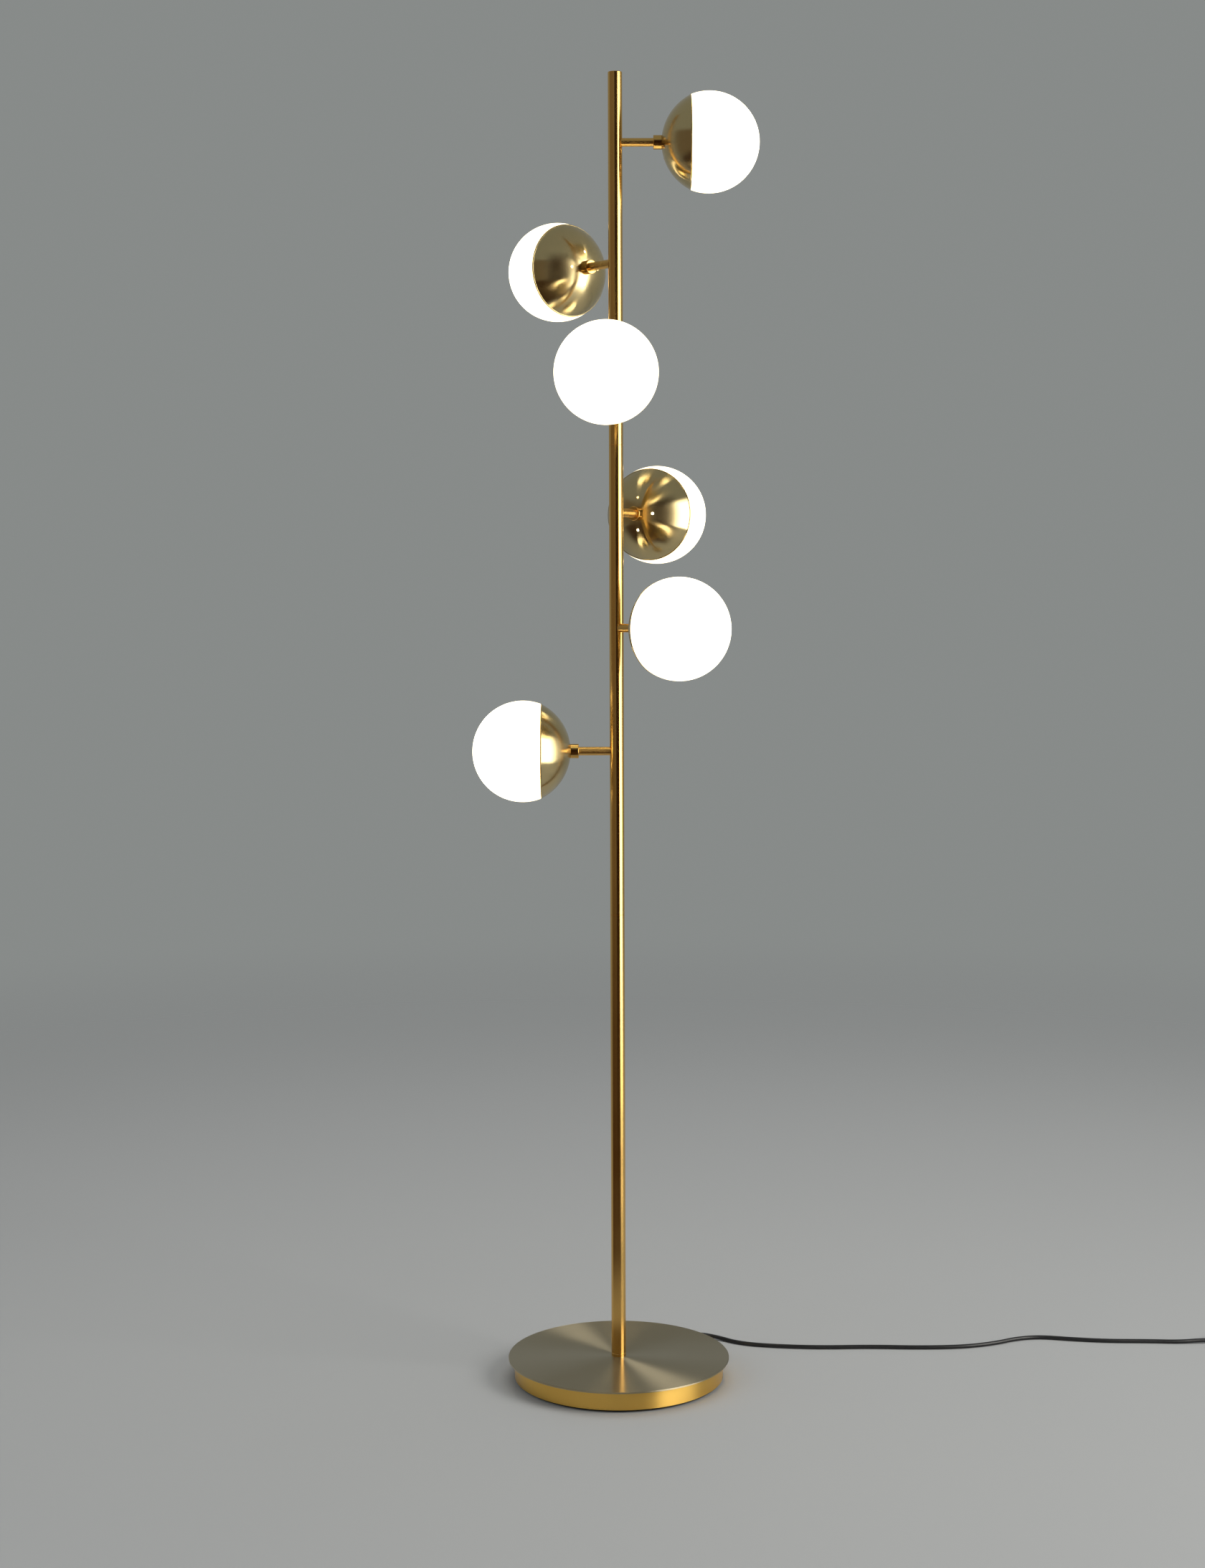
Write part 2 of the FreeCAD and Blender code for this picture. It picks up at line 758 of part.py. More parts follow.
def tube_along(wire, radius):
    """A solid tube along a smooth wire, from its first point to its last."""
    first = wire.OrderedEdges[0]
    start = first.firstVertex(True).Point
    heading = first.tangentAt(first.FirstParameter)
    if (first.valueAt(first.FirstParameter) - start).Length > 1e-6:
        heading = first.tangentAt(first.LastParameter) * -1
    section = Part.Wire(Part.makeCircle(radius, start, heading))
    return wire.makePipeShell([section], True, False)


def rounded_route(points):
    """Straight runs between points, joined by tangent arcs as large as the runs allow. Returns the
    edges and the arcs' radii."""
    edges, radii = [], []
    last = points[0]
    for before, corner, after in zip(points, points[1:], points[2:]):
        back, ahead = before - corner, after - corner
        reach = BEND_SHARE * min(back.Length, ahead.Length)
        back.normalize()
        ahead.normalize()
        half_turn = (math.pi - back.getAngle(ahead)) / 2
        radius = reach / math.tan(half_turn)
        start, finish = corner + back * reach, corner + ahead * reach
        middle = corner + (back + ahead).normalize() * radius * (1 / math.cos(half_turn) - 1)
        edges += [Part.LineSegment(last, start).toShape(), Part.Arc(start, middle, finish).toShape()]
        radii.append(radius)
        last = finish
    edges.append(Part.LineSegment(last, points[-1]).toShape())
    return edges, radii


def two_arcs(start, heading, finish, heading_in):
    """Two tangent arcs of equal reach from one point and direction to another."""
    chord = finish - start
    both = heading + heading_in
    a = 2 * (1 - heading.dot(heading_in))
    b = 2 * chord.dot(both)
    c = -chord.dot(chord)
    if abs(a) < 1e-9:
        reach = -c / b
    else:
        reach = (-b + math.sqrt(b * b - 4 * a * c)) / (2 * a)
    first_knee = start + heading * reach
    second_knee = finish - heading_in * reach
    meeting = (first_knee + second_knee) / 2
    return [arc_by_knee(start, first_knee, meeting), arc_by_knee(meeting, second_knee, finish)]


def arc_by_knee(start, knee, finish):
    """The arc from start to finish whose end tangents meet at the knee."""
    half = (finish - start) / 2
    foot = start + half
    rise = knee - foot
    if rise.Length < 1e-7:
        return Part.LineSegment(start, finish).toShape()
    cosine = half.Length / (knee - start).Length
    middle = foot + rise * (cosine / (1 + cosine))
    return Part.Arc(start, middle, finish).toShape()


def solid_feature(label, shape):
    feature = doc.addObject("Part::Feature", label)
    feature.Shape = shape
    return node(feature, label)


def check_volume(label, shape, wire, radius):
    """Compares a tube with its section times its length."""
    wanted = math.pi * radius**2 * wire.Length
    print(f"{label}: length {wire.Length:.1f}, volume {shape.Volume / wanted:.4f} of its section's")


# ---------------------------------------------------------------- wiring


def make_wiring():
    """The loom up the pole with a branch in each arm, and the terminal block in the base."""
    height, bend = value("cord_height"), value("loom_bend")
    outward = FreeCAD.Rotation(FreeCAD.Vector(0, 0, 1), value("cord_azimuth"))
    start = outward.multVec(FreeCAD.Vector(value("block_start"), 0, height))
    bend_start = outward.multVec(FreeCAD.Vector(bend, 0, height))
    slant = bend * (1 - math.sqrt(0.5))
    bend_middle = outward.multVec(FreeCAD.Vector(slant, 0, height + slant))
    bend_end = FreeCAD.Vector(0, 0, height + bend)
    top = FreeCAD.Vector(0, 0, value("arm_height_1 + branch_radius"))
    edges = [
        Part.LineSegment(start, bend_start).toShape(),
        Part.Arc(bend_start, bend_middle, bend_end).toShape(),
        Part.LineSegment(bend_end, top).toShape(),
    ]
    wire = Part.Wire(edges)
    loom = doc.addObject("Part::Feature", "loom")
    loom.Shape = tube_along(wire, value("loom_radius"))
    check_volume("loom", loom.Shape, wire, value("loom_radius"))

    def branch(number):
        return ring(f"branch_{number}", 0, "branch_radius", "loom_radius", "arm_end", X_AXIS)

    group("wiring_loom", [loom, *per_head(branch)])

    block = doc.addObject("Part::Box", "terminal_block")
    block.setExpression("Length", linked("block_length"))
    block.setExpression("Width", linked("block_width"))
    block.setExpression("Height", linked("block_height"))
    place(
        block,
        x="block_start * cos(cord_azimuth) + block_width / 2 * sin(cord_azimuth)",
        y="block_start * sin(cord_azimuth) - block_width / 2 * cos(cord_azimuth)",
        z=COVER_TOP,
        azimuth="cord_azimuth",
    )
    node(block, "terminal_block")


# ---------------------------------------------------------------- cord

# The free cord's route over the floor, from the strain relief's tip to the foot switch. The first
# point and the last are worked out from the pieces that they meet.
CORD_ROUTE = [
    (104.4, 149.1, 9.75),
    (117.4, 158.6, 8.0),
    (134.0, 161.2, 5.0),
    (150.5, 154.6, 3.2),
    (166.5, 140.8, 2.75),
    (191.0, 128.4, 2.75),
    (232.0, 119.8, 2.75),
    (292.0, 114.0, 2.75),
    (362.0, 117.0, 2.75),
    (433.0, 112.0, 2.75),
    (498.0, 115.5, 2.75),
    (544.0, 131.0, 2.75),
    (577.0, 151.0, 2.75),
    (613.0, 158.5, 2.75),
    (655.0, 148.0, 2.75),
    (705.0, 139.0, 2.75),
    (764.0, 138.0, 2.75),
    (808.0, 134.5, 2.75),
    (836.0, 137.0, 3.7),
    (852.0, 137.0, 4.0),
]
COIL_TURNS = 4.5  # two turns in, half a turn of climb, two turns out
CLIMB_TURNS = 0.5
SPOTS_PER_TURN = 4  # places on the coil between which two arcs run
BEND_SHARE = 0.45  # of a straight run of the route, that a bend takes at each of its ends


def make_strain_relief():
    """The tapered, ribbed strain relief in the drum's side, and the cord inside the base."""
    span = "(relief_end - relief_outer_end)"
    corners = [
        ("relief_inner_start", "cord_radius"),
        ("relief_end", "cord_radius"),
        ("relief_end", "relief_tip"),
    ]
    for k in range(RELIEF_GROOVES, 0, -1):
        far = f"(relief_outer_end + {k} / {RELIEF_GROOVES + 1} * {span})"
        for along in (far, f"({far} - relief_groove)"):
            surface = f"relief_root - (relief_root - relief_tip) * ({along} - relief_outer_end) / {span}"
            pair = [(along, surface), (along, f"{surface} - relief_groove / 2")]
            corners += pair if along == far else reversed(pair)
    corners += [
        ("relief_outer_end", "relief_root"),
        ("relief_outer_end", "relief_outer_radius"),
        ("relief_outer_start", "relief_outer_radius"),
        ("relief_outer_start", "relief_waist"),
        ("relief_inner_end", "relief_waist"),
        ("relief_inner_end", "relief_inner_radius"),
        ("relief_inner_start", "relief_inner_radius"),
    ]
    relief = turned("strain_relief", corners, X_AXIS)
    place(relief, z="cord_height", azimuth="cord_azimuth")
    node(relief, "strain_relief")

    block_end = "block_start + block_length"
    inside = ring("cord_inside", 0, "cord_radius", block_end, "relief_end", X_AXIS)
    place(inside, z="cord_height", azimuth="cord_azimuth")
    node(inside, "cord_inside")


def make_cord():
    """The free cord from the strain relief to the foot switch."""
    reach, azimuth = value("relief_end"), math.radians(value("cord_azimuth"))
    start = (reach * math.cos(azimuth), reach * math.sin(azimuth), value("cord_height"))
    end = (
        value("switch_x - switch_length / 2 - nozzle_length"),
        value("switch_y"),
        value("nozzle_height"),
    )
    points = [FreeCAD.Vector(*p) for p in (start, *CORD_ROUTE, end)]
    edges, radii = rounded_route(points)
    wire = Part.Wire(edges)
    radius = value("cord_radius")
    shape = tube_along(wire, radius)
    check_volume("cord_lead", shape, wire, radius)
    print("cord_lead: radii", [round(r) for r in radii])
    solid_feature("cord_lead", shape)
    return wire.Length


def coil_point(turns):
    """A point of the coil after so many turns from the far side, clockwise seen from above."""
    pitch, inside = value("coil_pitch"), value("coil_inside")
    layer_turns = (COIL_TURNS - CLIMB_TURNS) / 2
    low, high = value("cord_radius"), value("cord_radius + coil_pitch")
    climb = (turns - layer_turns) / CLIMB_TURNS
    if climb <= 0:
        radius, height = inside + pitch * (layer_turns - turns), low
    elif climb >= 1:
        radius, height = inside + pitch * (turns - layer_turns - CLIMB_TURNS), high
    else:
        radius = inside - pitch * climb * (1 - climb) / 2
        height = low + (high - low) * (3 * climb**2 - 2 * climb**3)
    angle = math.pi / 2 - 2 * math.pi * turns
    outer = inside + pitch * layer_turns
    centre = FreeCAD.Vector(value("coil_x"), value("switch_y") - outer, 0)
    return centre + FreeCAD.Vector(radius * math.cos(angle), radius * math.sin(angle), height)


def make_coil():
    """The spare cord, from the switch through a neat coil in two layers to the plug."""
    radius = value("cord_radius")
    straight = 2 * radius
    right = FreeCAD.Vector(1, 0, 0)
    start = FreeCAD.Vector(
        value("switch_x + switch_length / 2 + nozzle_length"),
        value("switch_y"),
        value("nozzle_height"),
    )
    steps = [k / SPOTS_PER_TURN for k in range(int(COIL_TURNS * SPOTS_PER_TURN) + 1)]
    spots = [coil_point(turns) for turns in steps]
    sliver = 1e-4
    headings = [right]
    for turns in steps[1:-1]:
        headings.append((coil_point(turns + sliver) - coil_point(turns - sliver)).normalize())
    headings.append(right * -1)
    near = FreeCAD.Vector(0, -1, 0)
    plug_entry = FreeCAD.Vector(value("plug_tail_x"), value("plug_tail_y"), value("plug_height"))
    edges = [Part.LineSegment(start, start + right * straight).toShape()]
    edges += two_arcs(start + right * straight, right, spots[0], right)
    for k in range(len(steps) - 1):
        edges += two_arcs(spots[k], headings[k], spots[k + 1], headings[k + 1])
    edges += two_arcs(spots[-1], right * -1, plug_entry - near * straight, near)
    edges.append(Part.LineSegment(plug_entry - near * straight, plug_entry).toShape())
    wire = Part.Wire(edges)
    shape = tube_along(wire, radius)
    check_volume("cord_coil", shape, wire, radius)
    print(f"cord_coil: least gap to itself {least_gap(wire, radius):.2f}")
    solid_feature("cord_coil", shape)
    return wire.Length


def least_gap(wire, radius):
    """The least clear distance between parts of a tube more than three diameters apart along it."""
    count = int(wire.Length)
    points = wire.discretize(Number=count)
    step = wire.Length / (count - 1)
    diameter = 2 * radius
    apart = int(3 * diameter / step) + 1
    least = min(
        (points[i] - points[j]).Length for i in range(count) for j in range(i + apart, count)
    )
    return least - diameter


# ---------------------------------------------------------------- foot switch


def rounded_rectangle(body, name, inset, raised):
    """A rounded rectangle of the switch's plan, drawn in by inset."""
    half_x, half_y = f"(switch_length / 2 - {inset})", f"(switch_width / 2 - {inset})"
    corner = f"(switch_corner - {inset})"
    spots = []
    for sx, sy in ((1, -1), (1, 1), (-1, 1), (-1, -1)):
        flat_x, flat_y = f"{sx} * ({half_x} - {corner})", f"{sy} * ({half_y} - {corner})"
        side_x, side_y = f"{sx} * {half_x}", f"{sy} * {half_y}"
        ends = [(flat_x, side_y), (side_x, flat_y)]
        if sx * sy > 0:
            ends.reverse()
        spots += [(*ends[0], corner, LEFT), ends[1]]
    return outline(body, name, spots, "XY_Plane", raised)


def make_switch():
    """A foot switch on the cord: two shells, a sprung button and its return spring."""
    base = new_body("switch_base")
    extrude(base, rounded_rectangle(base, "switch_plan", 0, 0), "switch_split")
    nozzle = circles(base, "switch_nozzle", [(0, "nozzle_height")], "nozzle_radius", "YZ_Plane")
    extrude(base, nozzle, "switch_length + 2 * nozzle_length", both_ways=True)
    well = rounded_rectangle(base, "switch_well", "(2 * switch_wall)", "switch_wall")
    extrude(base, well, "switch_height", "Pocket", reverse=True)
    node(place(base, x="switch_x", y="switch_y"), "switch_base")

    cover = new_body("switch_cover")
    high = "(switch_height - switch_split)"
    extrude(cover, rounded_rectangle(cover, "cover_plan", 0, "switch_split"), high)
    top = value("switch_height")
    round_edges(cover, "switch_round", lambda e: all(abs(v.Z - top) < 1e-6 for v in e.Vertexes))
    hollow = rounded_rectangle(cover, "cover_hollow", "switch_wall", "switch_split")
    extrude(cover, hollow, f"{high} - switch_wall", "Pocket", reverse=True)
    gap = "button_radius + button_gap"
    opening = circles(cover, "button_opening", [(0, 0)], gap, raised="switch_split")
    extrude(cover, opening, "switch_height", "Pocket", reverse=True)
    node(place(cover, x="switch_x", y="switch_y"), "switch_cover")

    shoulder = "(button_bottom + button_flange_thickness)"
    corners = [
        (0, "button_bottom"),
        ("button_flange", "button_bottom"),
        ("button_flange", shoulder),
        ("button_radius", shoulder),
        ("button_radius", "button_top - button_edge", "button_edge", LEFT),
        ("button_radius - button_edge", "button_top"),
        (0, "button_top"),
    ]
    button = place(turned("switch_button", corners, Z_AXIS), x="switch_x", y="switch_y")
    node(button, "switch_button")

    low, high = "switch_wall", "button_bottom"
    spring = ring("switch_spring", "spring_inner", "spring_outer", low, high, Z_AXIS)
    node(place(spring, x="switch_x", y="switch_y"), "switch_spring")


# ---------------------------------------------------------------- plug, its pins along its own -X


def make_plug():
    """A flat two-pin plug lying on the floor beside the coil."""
    body_start = "(-plug_tail)"
    face = f"({body_start} - plug_depth)"
    corners = [
        (body_start, "-plug_waist / 2"),
        (body_start, "plug_waist / 2"),
        (f"{body_start} - plug_shoulder", "plug_width / 2"),
        (face, "plug_width / 2"),
        (face, "-plug_width / 2"),
        (f"{body_start} - plug_shoulder", "-plug_width / 2"),
    ]
    plug = new_body("plug_body")
    sketch = outline(plug, "plug_plan", corners, "XY_Plane")
    extrude(plug, sketch, "plug_thickness", both_ways=True)
    front = value(face)
    round_edges(
        plug,
        "plug_round",
        lambda e: max(v.X for v in e.Vertexes) > front + 0.1,
    )
    tail = [
        (0, 0),
        (0, "plug_tail_tip"),
        (f"{body_start} + plug_tail_collar", "plug_tail_root"),
        (f"{body_start} - plug_tail_sink", "plug_tail_root"),
        (f"{body_start} - plug_tail_sink", 0),
    ]
    turn(plug, outline(plug, "plug_tail_outline", tail), X_AXIS)
    place(plug, x="plug_tail_x", y="plug_tail_y", z="plug_height", azimuth="plug_azimuth")
    node(plug, "plug_body")

    pins = []
    for side in (1, -1):
        tip = f"({face} - plug_pin_length)"
        round_tip = "(plug_pin_radius / 2)"
        corners = [
            (face, 0),
            (face, "plug_pin_radius"),
            (f"{tip} + {round_tip}", "plug_pin_radius", round_tip, LEFT),
            (tip, f"plug_pin_radius - {round_tip}"),
            (tip, 0),
        ]
        pin = turned(f"plug_pin_{2 - (side + 1) // 2}", corners, X_AXIS)
        across = f"plug_tail_x + ({side} * plug_pin_spacing / 2)"
        place(pin, x=across, y="plug_tail_y", z="plug_height", azimuth="plug_azimuth")
        pins.append(pin)
    group("plug_pins", pins)


# ---------------------------------------------------------------- build, check and write

make_plate()
make_drum()
make_weight()
make_cover()
make_stud()
make_pole()
make_heads()
make_wiring()
make_strain_relief()
cord_length = make_cord() + make_coil()
make_switch()
make_plug()
doc.recompute()
print(f"cord between the base and the plug, the switch aside: {cord_length:.0f}")

for item in doc.Objects:
    if {"Invalid", "Error"} & set(item.State):
        raise RuntimeError(f"{item.Label} failed: {item.State}")
for label, item in nodes.items():
    shape = item.Shape
    if shape.isNull() or not shape.isValid() or not shape.Solids:
        raise RuntimeError(f"{label} has no sound solid")

os.makedirs("parts", exist_ok=True)
for label, item in nodes.items():
    item.Shape.exportStep(f"parts/{label}.step")
print(f"{len(nodes)} nodes, {sum(len(item.Shape.Solids) for item in nodes.values())} solids")
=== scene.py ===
"""The looks of the tree floor lamp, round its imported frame.

Metres, +Z up, origin on the floor under the pole, seen from the front along +Y.
"""

import math

import bpy
from mathutils import Matrix, Vector


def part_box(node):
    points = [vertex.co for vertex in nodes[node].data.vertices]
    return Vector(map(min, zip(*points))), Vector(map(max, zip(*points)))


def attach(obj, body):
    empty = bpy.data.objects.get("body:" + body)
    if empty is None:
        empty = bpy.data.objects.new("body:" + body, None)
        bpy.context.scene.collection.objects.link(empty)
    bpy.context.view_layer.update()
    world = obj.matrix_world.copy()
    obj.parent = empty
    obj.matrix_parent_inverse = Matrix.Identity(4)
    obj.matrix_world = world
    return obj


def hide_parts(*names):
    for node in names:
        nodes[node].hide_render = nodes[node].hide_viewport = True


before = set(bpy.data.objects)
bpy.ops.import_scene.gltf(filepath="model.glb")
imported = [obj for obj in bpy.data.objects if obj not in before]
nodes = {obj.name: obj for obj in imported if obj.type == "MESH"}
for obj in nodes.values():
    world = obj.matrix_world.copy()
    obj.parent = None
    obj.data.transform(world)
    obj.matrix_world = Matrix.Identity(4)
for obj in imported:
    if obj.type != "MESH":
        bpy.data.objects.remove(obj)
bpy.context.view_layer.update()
scene = bpy.context.scene

ORIGIN = (0, 0, 0)
POLE_AXIS = Vector((0, 0, 1))
HEADS = range(1, 7)
HEAD_REACH = 0.130  # from the pole's axis to the middle of a globe


# ---------------------------------------------------------------- camera, as the photograph's


def make_camera():
    """The photograph was taken level, from a little left of the pole, with its picture shifted."""
    photo_height = 2186
    focal_pixels = 3271.0
    horizon_row = 819.5
    place = Vector((-0.0193, -3.250, 1.0926))
    forward = Matrix.Rotation(math.pi / 2, 4, "X")
    lean = Matrix.Rotation(math.radians(-0.174), 4, "Z")
    data = bpy.data.cameras.new("camera")
    data.sensor_width = 36.0
    data.lens = data.sensor_width * focal_pixels / photo_height
    data.shift_y = (horizon_row - photo_height / 2) / photo_height
    data.clip_start = 0.05
    camera = bpy.data.objects.new("camera", data)
    camera.matrix_world = Matrix.Translation(place) @ forward @ lean
    scene.collection.objects.link(camera)
    scene.camera = camera


# ---------------------------------------------------------------- node helpers


class Nodes:
    """A node tree with short calls for what the materials here need."""

    def __init__(self, tree):
        self.tree = tree
        tree.nodes.clear()

    def add(self, kind, inputs=None, **settings):
        """A node with its settings and inputs. An input is a value or another node's socket."""
        made = self.tree.nodes.new(kind)
        for name, setting in settings.items():
            setattr(made, name, setting)
        for key, given in (inputs or {}).items():
            self.give(made.inputs[key], given)
        return made

    def give(self, socket, given):
        """Sets a socket to a value or links it to another node's socket."""
        if isinstance(given, bpy.types.NodeSocket):
            self.tree.links.new(given, socket)
        else:
            socket.default_value = given

    def math(self, operation, *values):
        return self.add("ShaderNodeMath", dict(enumerate(values)), operation=operation).outputs[0]

    def vector(self, operation, *values, out=0):
        made = self.add("ShaderNodeVectorMath", dict(enumerate(values)), operation=operation)
        return made.outputs[out]

    def length(self, vector):
        return self.vector("LENGTH", vector, out=1)

    def span(self, value, low, high, to_low=0.0, to_high=1.0):
        """Maps a value smoothly from one span to another, held at both ends."""
        inputs = {"Value": value, "From Min": low, "From Max": high}
        inputs.update({"To Min": to_low, "To Max": to_high})
        return self.add("ShaderNodeMapRange", inputs, interpolation_type="SMOOTHSTEP").outputs[0]

    def mix(self, share, first, second):
        """Mixes two colours."""
        made = self.add("ShaderNodeMix", {0: share}, data_type="RGBA")
        self.give(made.inputs[6], first)
        self.give(made.inputs[7], second)
        return made.outputs[2]

    def mix_shader(self, share, first, second):
        inputs = {0: share, 1: first.outputs[0], 2: second.outputs[0]}
        return self.add("ShaderNodeMixShader", inputs)

    def noise(self, where, scale, detail=2.0, rough=0.5):
        inputs = {"Vector": where, "Scale": scale, "Detail": detail, "Roughness": rough}
        return self.add("ShaderNodeTexNoise", inputs).outputs["Fac"]

    def place(self):
        """Where a point is in its own object, which is the row frame at rest."""
        return self.add("ShaderNodeTexCoord").outputs["Object"]

    def bump(self, height, distance):
        inputs = {"Height": height, "Distance": distance, "Strength": 1.0}
        return self.add("ShaderNodeBump", inputs).outputs[0]

    def surface(self, shader):
        """Ends a material's tree in a shader."""
        self.add("ShaderNodeOutputMaterial", {"Surface": shader.outputs[0]})

    def finish(self, **inputs):
        """Ends the tree in a principled shader with these inputs, spaces written as _."""
        given = {name.replace("_", " "): value for name, value in inputs.items()}
        shader = self.add("ShaderNodeBsdfPrincipled", given)
        self.surface(shader)
        return shader


def material(name):
    made = bpy.data.materials.new(name)
    made.use_nodes = True
    return made, Nodes(made.node_tree)


def rgb(red, green, blue):
    """A linear colour."""
    return (red, green, blue, 1.0)


def shade(value, colour):
    return tuple(value * c for c in colour[:3]) + (1.0,)


# ---------------------------------------------------------------- materials

POLISHED = rgb(0.84, 0.52, 0.16)
# domes: brass darkened and greyed as painted shade; their spinning is in the roughness
SPUN_AND_SHADED = rgb(0.64, 0.51, 0.26)
# base plate: brass darkened and greyed as painted shade; its brushing is in the roughness
BRUSHED_AND_SHADED = rgb(0.54, 0.46, 0.31)
SATIN = rgb(0.90, 0.56, 0.13)

DARK_RING = 0.72  # tone of the darkest rings of turned metal
ACROSS_RINGS = 0.25  # turn of the shader's stretch from the tangent round the axis


def turned_metal(name, colour, axis, centre, rough, marks, stretch, contrast=0.10, relief=2e-6):
    """Metal finished on a lathe: fine rings round an axis, which draw highlights out across them.

    marks is how many rings there are to a metre, stretch the anisotropy, contrast how much the
    rings change the tone, and relief their depth in metres.
    """
    made, n = material(name)
    offset = n.vector("SUBTRACT", n.place(), tuple(centre))
    axis = tuple(axis)
    along = n.vector("DOT_PRODUCT", offset, axis, out=1)
    scaled = n.add("ShaderNodeVectorMath", {0: axis, "Scale": along}, operation="SCALE")
    out = n.length(n.vector("SUBTRACT", offset, scaled.outputs[0]))
    rings = n.add("ShaderNodeCombineXYZ", {0: along, 1: out, 2: 0.0}).outputs[0]
    fine = n.noise(rings, marks, detail=3.0, rough=0.6)
    broad = n.noise(n.place(), 9.0)
    tone = n.span(fine, 0.3, 0.7, 1 - contrast, 1.0)
    haze = n.span(broad, 0.35, 0.65, -0.02, 0.03)
    tinted = n.mix(tone, shade(DARK_RING, colour), colour)
    uneven = n.math("MULTIPLY", n.math("SUBTRACT", fine, 0.5), contrast / 2)
    ringed = n.math("ADD", uneven, rough)
    shader = n.finish(
        Base_Color=tinted,
        Metallic=1.0,
        Roughness=n.math("ADD", ringed, haze),
        Anisotropic=stretch,
        Anisotropic_Rotation=ACROSS_RINGS,
        Normal=n.bump(fine, relief),
    )
    n.give(shader.inputs["Tangent"], n.vector("CROSS_PRODUCT", axis, offset))
    return made


def opal_glass(number, centre, axis):
    """Opal glass lit from inside: brightest at its front, warmer and dimmer at the dome's rim."""
    made, n = material(f"opal_glass_{number}")
    offset = n.vector("SUBTRACT", n.place(), tuple(centre))
    along = n.vector("DOT_PRODUCT", offset, tuple(axis), out=1)
    forward = n.span(along, -0.030, 0.045)
    mottle = n.noise(n.place(), 60.0, detail=3.0)
    n.finish(
        Base_Color=n.mix(mottle, rgb(0.90, 0.88, 0.83), rgb(0.94, 0.92, 0.88)),
        Roughness=0.12,
        Coat_Weight=0.3,
        Coat_Roughness=0.04,
        Emission_Color=n.mix(forward, rgb(1.0, 0.80, 0.46), rgb(1.0, 0.90, 0.64)),
        Emission_Strength=n.span(forward, 0.0, 1.0, 2.6, 3.8),
    )
    return made


def plain_metal(name, colour, rough, grain=180.0, relief=1e-5):
    """Metal with a fine uneven surface, for castings, plating and hidden fittings."""
    made, n = material(name)
    fine = n.noise(n.place(), grain, detail=4.0)
    broad = n.noise(n.place(), 25.0)
    n.finish(
        Base_Color=n.mix(broad, shade(0.8, colour), colour),
        Metallic=1.0,
        Roughness=n.span(fine, 0.2, 0.8, rough - 0.06, rough + 0.08),
        Normal=n.bump(fine, relief),
    )
    return made


def moulded(name, colour, rough, grain=900.0, relief=1.5e-5, metallic=0.0):
    """Plastic, rubber, ceramic or paint with a fine moulded grain and a faintly uneven tone."""
    made, n = material(name)
    fine = n.noise(n.place(), grain, detail=3.0)
    broad = n.noise(n.place(), 30.0)
    n.finish(
        Base_Color=n.mix(broad, shade(0.75, colour), colour),
        Metallic=metallic,
        Roughness=n.span(fine, 0.25, 0.75, rough - 0.08, rough + 0.08),
        Normal=n.bump(fine, relief),
    )
    return made


def glowing_bulb():
    """The frosted bulb, lit."""
    made, n = material("frosted_bulb")
    fine = n.noise(n.place(), 400.0)
    n.finish(
        Base_Color=n.mix(fine, rgb(0.86, 0.84, 0.78), rgb(0.92, 0.90, 0.85)),
        Roughness=0.35,
        Emission_Color=rgb(1.0, 0.90, 0.72),
        Emission_Strength=n.span(fine, 0.2, 0.8, 3.6, 4.4),
    )
    return made


def wear(made, *names):
    """Gives CAD nodes' objects their material."""
    for name in names:
        slots = nodes[name].data.materials
        slots.clear()
        slots.append(made)


def head_frame(number):
    """The middle of a head's globe, and the direction in which its arm points."""
    low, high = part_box(f"bulb_{number}")
    bulb = (low + high) / 2
    axis = Vector((bulb.x, bulb.y, 0)).normalized()
    return Vector((0, 0, bulb.z)) + axis * HEAD_REACH, axis


def dress_pole_and_base():
    """Materials of the pole and of what shows of the base."""
    pole = turned_metal(
        "polished_brass", POLISHED, POLE_AXIS, ORIGIN,
        rough=0.18, marks=1400.0, stretch=0.75, contrast=0.03, relief=5e-8,
    )
    wear(pole, "pole_lower", "pole_middle", "pole_upper", "pole_cap", "pole_foot")
    # the plate's top gets the darker, greyer brass: painted shade
    plate = turned_metal(
        "brushed_brass", BRUSHED_AND_SHADED, POLE_AXIS, ORIGIN,
        rough=0.32, marks=2600.0, stretch=0.98, contrast=0.25, relief=3e-6,
    )
    wear(plate, "base_plate")
    drum = turned_metal(
        "satin_brass", SATIN, POLE_AXIS, ORIGIN, rough=0.30, marks=1500.0, stretch=0.85
    )
    wear(drum, "base_drum")


def dress_heads():
    """Materials of the arms, collars, domes, globes and what they hold."""
    for number in HEADS:
        centre, axis = head_frame(number)
        # the domes get the darker, greyer brass: painted shade
        dome = turned_metal(
            f"spun_shaded_brass_{number}", SPUN_AND_SHADED, axis, centre,
            rough=0.17, marks=1500.0, stretch=0.92, contrast=0.10, relief=2e-7,
        )
        wear(dome, f"dome_{number}")
        arm = turned_metal(
            f"arm_brass_{number}", POLISHED, axis, centre, rough=0.24, marks=1500.0, stretch=0.9
        )
        wear(arm, f"arm_{number}")
        wear(opal_glass(number, centre, axis), f"globe_{number}")
    wear(plain_metal("collar_brass", POLISHED, 0.14, grain=900.0, relief=2e-6), "dome_collars")
    wear(glowing_bulb(), *[f"bulb_{number}" for number in HEADS])
    ceramic = moulded("white_ceramic", rgb(0.80, 0.78, 0.72), 0.25)
    wear(ceramic, *[f"lampholder_{number}" for number in HEADS])


